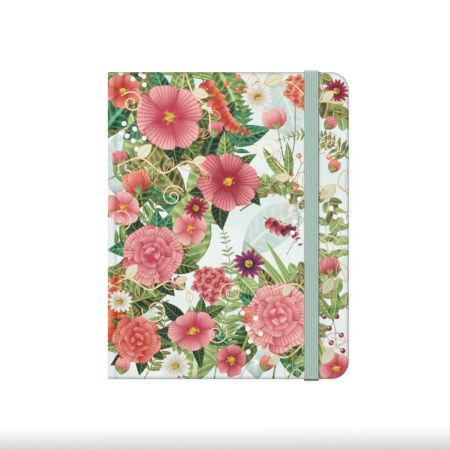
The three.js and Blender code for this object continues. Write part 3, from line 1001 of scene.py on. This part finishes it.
def used_only(triangles, *tables):
    """Triangles and tables of their points, without the points that no triangle uses."""
    used = np.unique(triangles)
    renumber = np.full(len(tables[0]), -1)
    renumber[used] = np.arange(len(used))
    return renumber[triangles], *(table[used] for table in tables)


def printed_face(border, loops):
    """Points and triangles of the flat print, with the number of the topmost motif on each triangle."""
    flat, faces, held = triangulate([border] + loops, bend_lines())
    kept = [(face, max(owners)) for face, owners in zip(faces, held) if 0 in owners]
    triangles = np.array([face for face, _ in kept])
    owner = np.array([top for _, top in kept])
    corners = flat[triangles]
    ab, ac = corners[:, 1] - corners[:, 0], corners[:, 2] - corners[:, 0]
    whole = np.abs(ab[:, 0] * ac[:, 1] - ab[:, 1] * ac[:, 0]) > SLIVER
    triangles, flat = used_only(triangles[whole], flat)
    return flat, triangles, owner[whole]


def inner_face(flat, triangles):
    """Points and triangles of the sheet's inner face, and the triangles that join it to the outer one."""
    sides = np.concatenate([triangles[:, [0, 1]], triangles[:, [1, 2]], triangles[:, [2, 0]]])
    _, where, count = np.unique(np.sort(sides, 1), axis=0, return_index=True, return_counts=True)
    rim = sides[where[count == 1]]
    follow = dict(rim.tolist())
    loop = [rim[0][0]]
    while follow[loop[-1]] != loop[0]:
        loop.append(follow[loop[-1]])
    inner, faces, held = triangulate([flat[loop]], bend_lines())
    match = {}
    for i, point in enumerate(inner):
        match.setdefault(tuple(np.round(point, 3)), len(flat) + i)
    bridge = []
    for a, b in zip(loop, loop[1:] + loop[:1]):
        c, d = (match[tuple(np.round(flat[i], 3))] for i in (a, b))
        bridge += [(b, a, c), (b, c, d)]
    kept = [face for face, owners in zip(faces, held) if 0 in owners]
    return inner, len(flat) + np.array(kept)[:, ::-1], np.array(bridge)


def write_inks(mesh, sheet, triangles, owner, shapes):
    """Gives the corners of each triangle the place, form and tones of the motif that covers it."""
    table = {key: np.array([shape[key] for shape in shapes])[owner] for key in BARE_SHEET}
    mesh.polygons.foreach_set("material_index", table["look"].astype(np.int32))
    write(mesh, "sheet", "POINT", np.column_stack([sheet * MM, np.zeros(len(sheet))]))
    corners = {key: np.repeat(values, 3, axis=0) for key, values in table.items()}
    local = np.einsum("nij,nj->ni", corners["inverse"], sheet[triangles.ravel()] - corners["at"])
    write(mesh, "place", "CORNER", np.column_stack([local, corners["bend"]]))
    for key in ("form", "fade", "deep", "pale", "line"):
        write(mesh, key, "CORNER", corners[key])


def half_wrap(name, art, back):
    """One half of the wrap with its print, from the middle of the spine to the fore edge."""
    shapes, loops = [BARE_SHEET], []
    for shape in art.shapes:
        loop = mirrored(shape["loop"]) if back else shape["loop"]
        if loop[:, 0].max() > SHEET_MIDDLE:
            shapes.append(shape)
            loops.append(loop)
    flat, triangles, owner = printed_face(sheet_ring(ROLL_ALL), loops)
    inner, inner_triangles, bridge = inner_face(flat, triangles)
    place = np.concatenate([fold(flat), fold(inner, WRAP)])
    normals = np.concatenate([fold_normals(flat), -fold_normals(inner)])
    triangles = np.concatenate([triangles, inner_triangles, bridge])
    owner = np.concatenate([owner, np.zeros(len(triangles) - len(owner), int)])
    sheet = np.concatenate([flat, inner])
    if back:
        place[:, 2] = BOOK_HEIGHT - place[:, 2]
        normals[:, 2] *= -1
        triangles = triangles[:, ::-1]
        sheet = mirrored(sheet)
    triangles, sheet, place, normals = used_only(triangles, sheet, place, normals)

    mesh = bpy.data.meshes.new(name)
    mesh.from_pydata((place * MM).tolist(), [], triangles.tolist())
    write_inks(mesh, sheet, triangles, owner, shapes)
    mesh.polygons.foreach_set("use_smooth", np.ones(len(triangles), bool))
    mesh.update()
    mesh.normals_split_custom_set_from_vertices(normals.tolist())
    piece = add_piece(name, mesh, PRINT_MATERIALS.values())
    return piece


whole_print = Print(11)
back_print(whole_print, *BACK_BED)
front_print(whole_print)

front_wrap = half_wrap("printed_wrap_front", whole_print, False)
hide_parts("front_wrap", "spine_wrap")
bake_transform(front_wrap)

back_wrap = half_wrap("printed_wrap_back", whole_print, True)
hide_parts("back_wrap")
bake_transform(back_wrap)

# Elastic


def elastic_material():
    surface = Surface("elastic_ribbed")
    x, run, _ = surface.split(surface.attribute("weave"))
    _, y, z = surface.split(surface.place())
    rib = (x * (2 * math.pi * ELASTIC_RIBS)).cosine() * -0.5 + 0.5
    pick = run.wave(PICK_PITCH)
    thread = surface.noise(surface.place(), 900.0)
    tone = (rib * 0.6 + (pick * 0.1 + 0.15) + (thread * 0.5 - 0.25)).clamped()
    colour = surface.mix(tone, linear(154, 182, 171), linear(191, 214, 205))
    # Painted shade along the band's sides: full on the right side, half as strong on the left.
    painted_side_shade = x.ramp(0.95, 0.972) + x.ramp(0.028, 0.012, 0.0, 0.5)
    colour = surface.mix(painted_side_shade, colour, linear(70, 84, 78))
    # Painted highlight where the band turns over the head edge of the cover, and painted shade where it
    # turns over the tail edge.
    turn = z.ramp((ELASTIC_FRONT_Z - 2.5) * MM, (ELASTIC_FRONT_Z - 0.5) * MM)
    head = y.ramp((COVER_HALF - 0.6) * MM, (COVER_HALF + 0.2) * MM, 0.0, 0.5)
    colour = surface.mix(turn * head, colour, linear(218, 232, 224))
    # painted shade on the turn over the tail edge
    tail = y.ramp((0.5 - COVER_HALF) * MM, -(COVER_HALF + 0.1) * MM, 0.0, 0.88)
    colour = surface.mix(turn * tail, colour, linear(58, 74, 69))
    normal = surface.bump(pick + thread, 0.35, COARSE_RELIEF)
    return surface.finish(colour, 0.8, Normal=normal, Sheen_Weight=0.15, Sheen_Roughness=0.5)


def elastic_path():
    """Middle of the band as Y and Z, from its end at the head, over the front, to its end at the tail."""
    r, turn_y, top_z = ELASTIC_RADIUS, ELASTIC_TURN_Y, ELASTIC_FRONT_Z
    path = [(y, ELASTIC_END_Z) for y in (ELASTIC_END_Y, ELASTIC_END_Y + 15, COVER_HALF - 1)]
    for t in np.linspace(0, math.pi / 2, 6):
        path.append((turn_y + r * math.sin(t), ELASTIC_END_Z + r - r * math.cos(t)))
    path += [(turn_y + r, z) for z in np.linspace(3.2, top_z, 20)]
    for t in np.linspace(0.2, math.pi / 2, 8):
        path.append((turn_y + r * math.cos(t), top_z + r * math.sin(t)))
    path += [(y, top_z + r) for y in np.linspace(COVER_HALF - 1, 0, 27)]
    return np.array(path + [(-y, z) for y, z in path[-2::-1]])


def elastic_section():
    """Outline of the ribbed band: share of its width, and height over its middle."""
    across = np.linspace(0, 1, 57)
    ribs = ELASTIC_RADIUS * (1 - RIB_DEPTH * (1 + np.cos(2 * math.pi * ELASTIC_RIBS * across)))
    edge = np.minimum(np.minimum(across, 1 - across) * (ELASTIC_X1 - ELASTIC_X0) / ELASTIC_EDGE, 1)
    thick = ribs * np.sqrt(1 - (1 - edge) ** 2 * EDGE_DEPTH)
    return list(zip(across, thick)) + list(zip(across[::-1], -thick[::-1]))


def elastic_band():
    """One band from under the endpaper at the head, over the front, to under it at the tail."""
    path, section = elastic_path(), elastic_section()
    run = np.gradient(path, axis=0)
    run /= np.linalg.norm(run, axis=1, keepdims=True)
    out = np.stack([run[:, 1], -run[:, 0]], 1)
    length = np.concatenate([[0], np.cumsum(np.linalg.norm(np.diff(path, axis=0), axis=1))])
    points, weave = [], []
    for (y, z), (out_y, out_z), far in zip(path, out, length):
        for t, k in section:
            points.append((ELASTIC_X0 + (ELASTIC_X1 - ELASTIC_X0) * t, y + out_y * k, z + out_z * k))
            weave.append((t, far, 0))
    n, last = len(section), (len(path) - 1) * len(section)
    faces = []
    for i in range(0, last, n):
        faces += [(i + j, i + (j + 1) % n, i + n + (j + 1) % n, i + n + j) for j in range(n)]
    faces += [tuple(range(n))[::-1], tuple(range(last, last + n))]
    mesh = bpy.data.meshes.new("elastic_band")
    mesh.from_pydata((np.array(points) * MM).tolist(), [], faces)
    write(mesh, "weave", "POINT", weave)
    mesh.update()
    mesh.shade_smooth()
    return add_piece("elastic_band", mesh, [elastic_material()])


elastic = elastic_band()
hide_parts("elastic_front_run", "elastic_head_run", "elastic_tail_run",
            "elastic_anchor_head", "elastic_anchor_tail")
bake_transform(elastic)

# Leaves


def paper_material(name, dark, light, fibres, clouds, share, roughness, relief):
    """Paper of fine fibres and soft clouds, mixed by the share of the fibres."""
    surface = Surface(name)
    fibre = surface.noise(surface.place(), fibres, 3.0)
    cloud = surface.noise(surface.place(), clouds)
    colour = surface.mix((fibre * share + cloud * (1 - share)).clamped(), dark, light)
    return surface.finish(colour, roughness, Normal=surface.bump(fibre, relief, FINE_RELIEF))


def page_material():
    """The weekly spread: ruled days, with a margin on each side."""
    surface = Surface("ruled_page")
    x, y, _ = surface.split(surface.attribute("page"))
    fibre = surface.noise(surface.place(), 1200.0, 3.0)
    colour = surface.mix(fibre, linear(244, 240, 231), linear(252, 250, 245))
    inside = (x > 0.09) * (x < 0.93) * ((y > 0.1) * (y < 0.901))
    fine = (y * 30.0).fraction() < 0.05
    colour = surface.mix(fine * (inside * 0.55), colour, linear(176, 196, 188))
    days = (y * 5.0).fraction() < 0.014
    colour = surface.mix(days * inside, colour, linear(120, 150, 140))
    return surface.finish(colour, 0.85, Normal=surface.bump(fibre, 0.15, FINE_RELIEF))


CREAM = linear(240, 235, 224), linear(251, 249, 243)
PAPER = paper_material("leaf_paper", *CREAM, 1200.0, 60.0, 0.5, 0.85, 0.15)
PAGE = page_material()


class Pile:
    """Sheets of paper, gathered as the points and faces of one mesh."""

    def __init__(self):
        self.points = []
        self.faces = []
        self.looks = []

    def face(self, corners, look=0):
        self.faces.append(tuple(corners))
        self.looks.append(look)

    def sheet(self, rim, low, look_low, look_high):
        """A flat sheet, with the looks of its lower and its upper page."""
        n, base = len(rim), len(self.points)
        for z in (low + SHEET_GAP, low + SHEET_THICKNESS - SHEET_GAP):
            self.points += [(x, y, z) for x, y in rim]
        self.face(range(base + n - 1, base - 1, -1), look_low)
        self.face(range(base + n, base + 2 * n), look_high)
        for i in range(n):
            j = (i + 1) % n
            self.face((base + i, base + j, base + n + j, base + n + i))

    def fold(self, middle_z, outer, inner, slide):
        """The half round fold of a sheet at the spine."""
        steps = [math.pi / 2 + math.pi * i / 8 for i in range(9)]
        ring = [(outer, t) for t in steps] + [(inner, t) for t in steps[::-1]]
        n, base = len(ring), len(self.points)
        for y in (-PAGE_HALF + slide, PAGE_HALF + slide):
            for r, t in ring:
                self.points.append((FOLD_X + r * math.cos(t), y, middle_z + r * math.sin(t)))
        for i in range(n):
            j = (i + 1) % n
            self.face((base + j, base + i, base + n + i, base + n + j))
        for i in range(n // 2 - 1):
            corners = [base + i, base + i + 1, base + n - 2 - i, base + n - 1 - i]
            self.face(corners)
            self.face([c + n for c in corners[::-1]])


def leaf_block(name, z0, body, first, page_on_top, seed):
    """The leaves of six signatures, laid slightly out of line, with a ruled page where the planner opens."""
    dice = random.Random(seed)
    pile = Pile()
    opening = (SIGNATURES - 1, 0, True) if page_on_top else (0, 0, False)
    for signature in range(SIGNATURES):
        foot = z0 + signature * SIGNATURE_THICKNESS
        for k in range(SHEETS):
            shift = dice.uniform(-0.16, 0.05)
            slide = dice.uniform(-0.08, 0.08)
            for upper in (False, True):
                under = SIGNATURE_THICKNESS - (k + 1) * SHEET_THICKNESS if upper else k * SHEET_THICKNESS
                reach = LEAF_X1 + shift + dice.uniform(-0.04, 0.0) - SHEET_STEP * k
                flat = rounded_end(FOLD_X, reach - LEAF_CORNER, PAGE_HALF - LEAF_CORNER, LEAF_CORNER, 8)
                ruled = int(opening == (signature, k, upper))
                looks = (0, ruled) if page_on_top else (ruled, 0)
                pile.sheet([(x, y + slide) for x, y in flat], foot + under, *looks)
            outer = SIGNATURE_THICKNESS / 2 - k * SHEET_THICKNESS
            inner = outer - SHEET_THICKNESS + SHEET_GAP
            pile.fold(foot + SIGNATURE_THICKNESS / 2, outer, inner, slide)
    points = np.array(pile.points)
    across = (points[:, 0] - LEAF_X0) / (LEAF_X1 - LEAF_X0)
    up = (points[:, 1] + LEAF_HALF) / (2 * LEAF_HALF)
    mesh = bpy.data.meshes.new(name)
    mesh.from_pydata((points * MM).tolist(), [], pile.faces)
    mesh.polygons.foreach_set("material_index", np.array(pile.looks, np.int32))
    write(mesh, "page", "POINT", np.column_stack([across, up, np.zeros(len(points))]))
    mesh.update()
    piece = add_piece(name, mesh, [PAPER, PAGE])
    nodes_replaced = [f"signature_{i:02d}" for i in range(first, first + SIGNATURES)]
    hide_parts(*nodes_replaced)
    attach(piece, body)


leaf_block("leaves_rear", REAR_LEAVES_Z, "back_cover", 7, True, 5)
leaf_block("leaves_front", FRONT_LEAVES_Z, "front_leaves", 1, False, 6)

# Pieces that keep the shape of the model


def board_material():
    surface = Surface("greyboard")
    fleck = surface.noise(surface.place(), 2200.0, 4.0, 0.7)
    colour = surface.mix(fleck.ramp(0.35, 0.65), linear(120, 114, 104), linear(168, 160, 148))
    return surface.finish(colour, 0.95, Normal=surface.bump(fleck, 0.3, COARSE_RELIEF))


def cloth_material():
    """Plain weave along Y and Z, in threads of one pitch."""
    surface = Surface("lining_cloth")
    _, y, z = surface.split(surface.place())
    weave = y.wave(0.7 * MM) * z.wave(0.7 * MM) * 0.5 + 0.5
    colour = surface.mix(weave, linear(214, 206, 188), linear(238, 232, 218))
    return surface.finish(colour, 0.95, Normal=surface.bump(weave, 0.4, COARSE_RELIEF))


def band_material():
    """Head band: two threads in turns, wound over the bead."""
    surface = Surface("head_band")
    _, _, z = surface.split(surface.place())
    turn = z.wave(1.6 * MM).ramp(-0.2, 0.2)
    colour = surface.mix(turn, linear(150, 178, 167), linear(238, 240, 234))
    normal = surface.bump(z.wave(0.4 * MM), 0.5, COARSE_RELIEF)
    return surface.finish(colour, 0.7, Normal=normal)


PALE_SAGE = linear(206, 222, 213), linear(228, 238, 232)
ENDPAPER = paper_material("endpaper_sage", *PALE_SAGE, 1500.0, 40.0, 0.6, 0.8, 0.2)
CARRIED = {
    ENDPAPER: ["back_pastedown", "front_pastedown", "front_flyleaf", "rear_flyleaf"],
    board_material(): ["back_board", "front_board", "spine_board"],
    cloth_material(): ["front_spine_lining", "rear_spine_lining"],
    band_material(): ["front_head_band", "front_tail_band", "rear_head_band", "rear_tail_band"],
}
for material, names in CARRIED.items():
    for name in names:
        for slot in bpy.data.objects[name].material_slots:
            slot.material = material

# Floor, light and camera

FLOOR_HALF = 6.0
FLOOR_DROP = 0.0002
STRIP_START_Y, STRIP_END_Y, STRIP_TONE = -0.1329, -0.1557, 0.33
FADE_START_Y, FADE_END_Y = -0.17, -0.95
FADE_START_X, FADE_END_X = 0.2, 1.1
FLOOR_GLOW = 0.74
SKY_SIDE = (-0.12, 0.16, 0.98)
SKY_LOW, SKY_HIGH = 0.07, 0.84
LAMP_PLACE, LAMP_SIZE, LAMP_WATTS = (-0.36, 0.36, 1.4), 0.8, 8.6


def floor_material():
    """A white floor, with a grey part past the planner's tail that fades out about a metre away."""
    surface = Surface("floor_white")
    x, y, _ = surface.split(surface.place())
    strip = y.ramp(STRIP_END_Y, STRIP_START_Y, STRIP_TONE, 1.0, "LINEAR")
    beyond = y.ramp(FADE_START_Y, FADE_END_Y).at_least(abs(x).ramp(FADE_START_X, FADE_END_X))
    tone = surface.mix(beyond, strip, (1.0, 1.0, 1.0, 1.0))
    seen = surface.rays("Camera", "Glossy", "Transmission")
    surface.finish(linear(180, 180, 180), 0.9, Specular_IOR_Level=0.1)
    glow = surface.value("ShaderNodeEmission", {"Color": tone, "Strength": seen * FLOOR_GLOW})
    both = surface.value("ShaderNodeAddShader", {0: Value(surface, surface.shader.outputs[0]), 1: glow})
    surface.feed(surface.tree.nodes["Material Output"].inputs["Surface"], both)
    return surface.owner


floor_mesh = bpy.data.meshes.new("floor")
floor_corners = [(x * FLOOR_HALF, y * FLOOR_HALF, 0) for x, y in ((-1, -1), (1, -1), (1, 1), (-1, 1))]
floor_mesh.from_pydata(floor_corners, [], [(0, 1, 2, 3)])
floor = add_piece("floor", floor_mesh, [floor_material()])
floor.location = (0, 0, -FLOOR_DROP)

sky = Nodes(bpy.data.worlds.new("studio"))
towards = sky.value("ShaderNodeVectorMath", {0: sky.place("Generated"), 1: SKY_SIDE}, "Value",
                    operation="DOT_PRODUCT")
strength = towards.ramp(0.0, 0.98, SKY_LOW, SKY_HIGH).at_least(sky.rays("Camera", "Transmission"))
background = sky.tree.nodes["Background"]
sky.feed(background.inputs["Strength"], strength)
sky.feed(background.inputs["Color"], (1.0, 1.0, 1.0, 1.0))
bpy.context.scene.world = sky.owner

lamp_data = bpy.data.lights.new("softbox_top", "AREA")
lamp_data.shape = "SQUARE"
lamp_data.size, lamp_data.energy = LAMP_SIZE, LAMP_WATTS
lamp = bpy.data.objects.new("softbox_top", lamp_data)
lamp.location = LAMP_PLACE
lamp.rotation_euler = (-lamp.location).to_track_quat("-Z", "Y").to_euler()
bpy.context.scene.collection.objects.link(lamp)

LENS, SENSOR, PIXELS = 135.0, 36.0, 450
PIXEL_MM = 0.6836
AIM_X, AIM_Y = -2.2, 0.35
distance = PIXEL_MM * PIXELS * LENS / SENSOR
camera_data = bpy.data.cameras.new("camera")
camera_data.lens, camera_data.sensor_width = LENS, SENSOR
camera = bpy.data.objects.new("camera", camera_data)
camera.location = (AIM_X * MM, AIM_Y * MM, (BOOK_HEIGHT + distance) * MM)
camera_data.clip_start, camera_data.clip_end = 0.05, 50
bpy.context.scene.collection.objects.link(camera)
bpy.context.scene.camera = camera
bpy.context.scene.view_settings.view_transform = "Standard"
